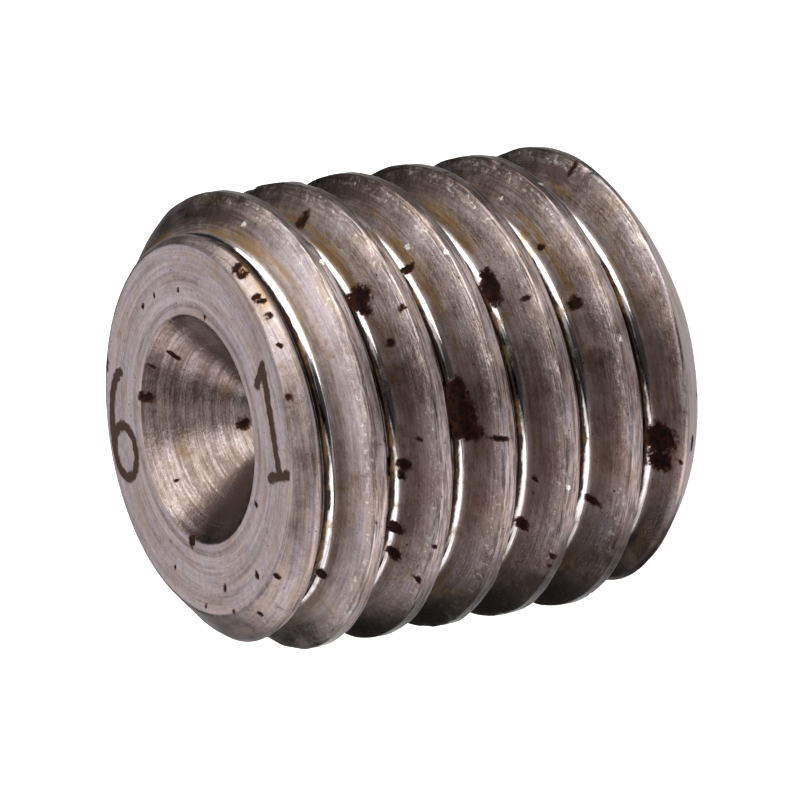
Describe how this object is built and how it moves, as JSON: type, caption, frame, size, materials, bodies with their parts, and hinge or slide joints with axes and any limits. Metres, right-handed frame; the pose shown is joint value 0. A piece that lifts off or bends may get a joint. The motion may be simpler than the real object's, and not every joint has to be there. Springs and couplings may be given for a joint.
{
  "type": "orifice restrictor screw",
  "caption": "Short headless set screw with a cone seat and a small metering hole through it, driven by a hex socket in its far end.",
  "frame": {"origin": "on the screw's axis, at the middle of the flat ring at the socket end", "axes": "+Z along the axis, from the socket end up to the cone end; the thread's start is fixed by the height of its crest on the +X side, and -Y is the side that the picture sees"},
  "size_m": [0.0078, 0.0078, 0.0079],
  "materials": {
    "steel": "bare turned steel, dull grey, with oil film and spots of rust in the thread"
  },
  "bodies": {
    "root": {"restrictor_screw": "steel"}
  },
  "joints": []
}
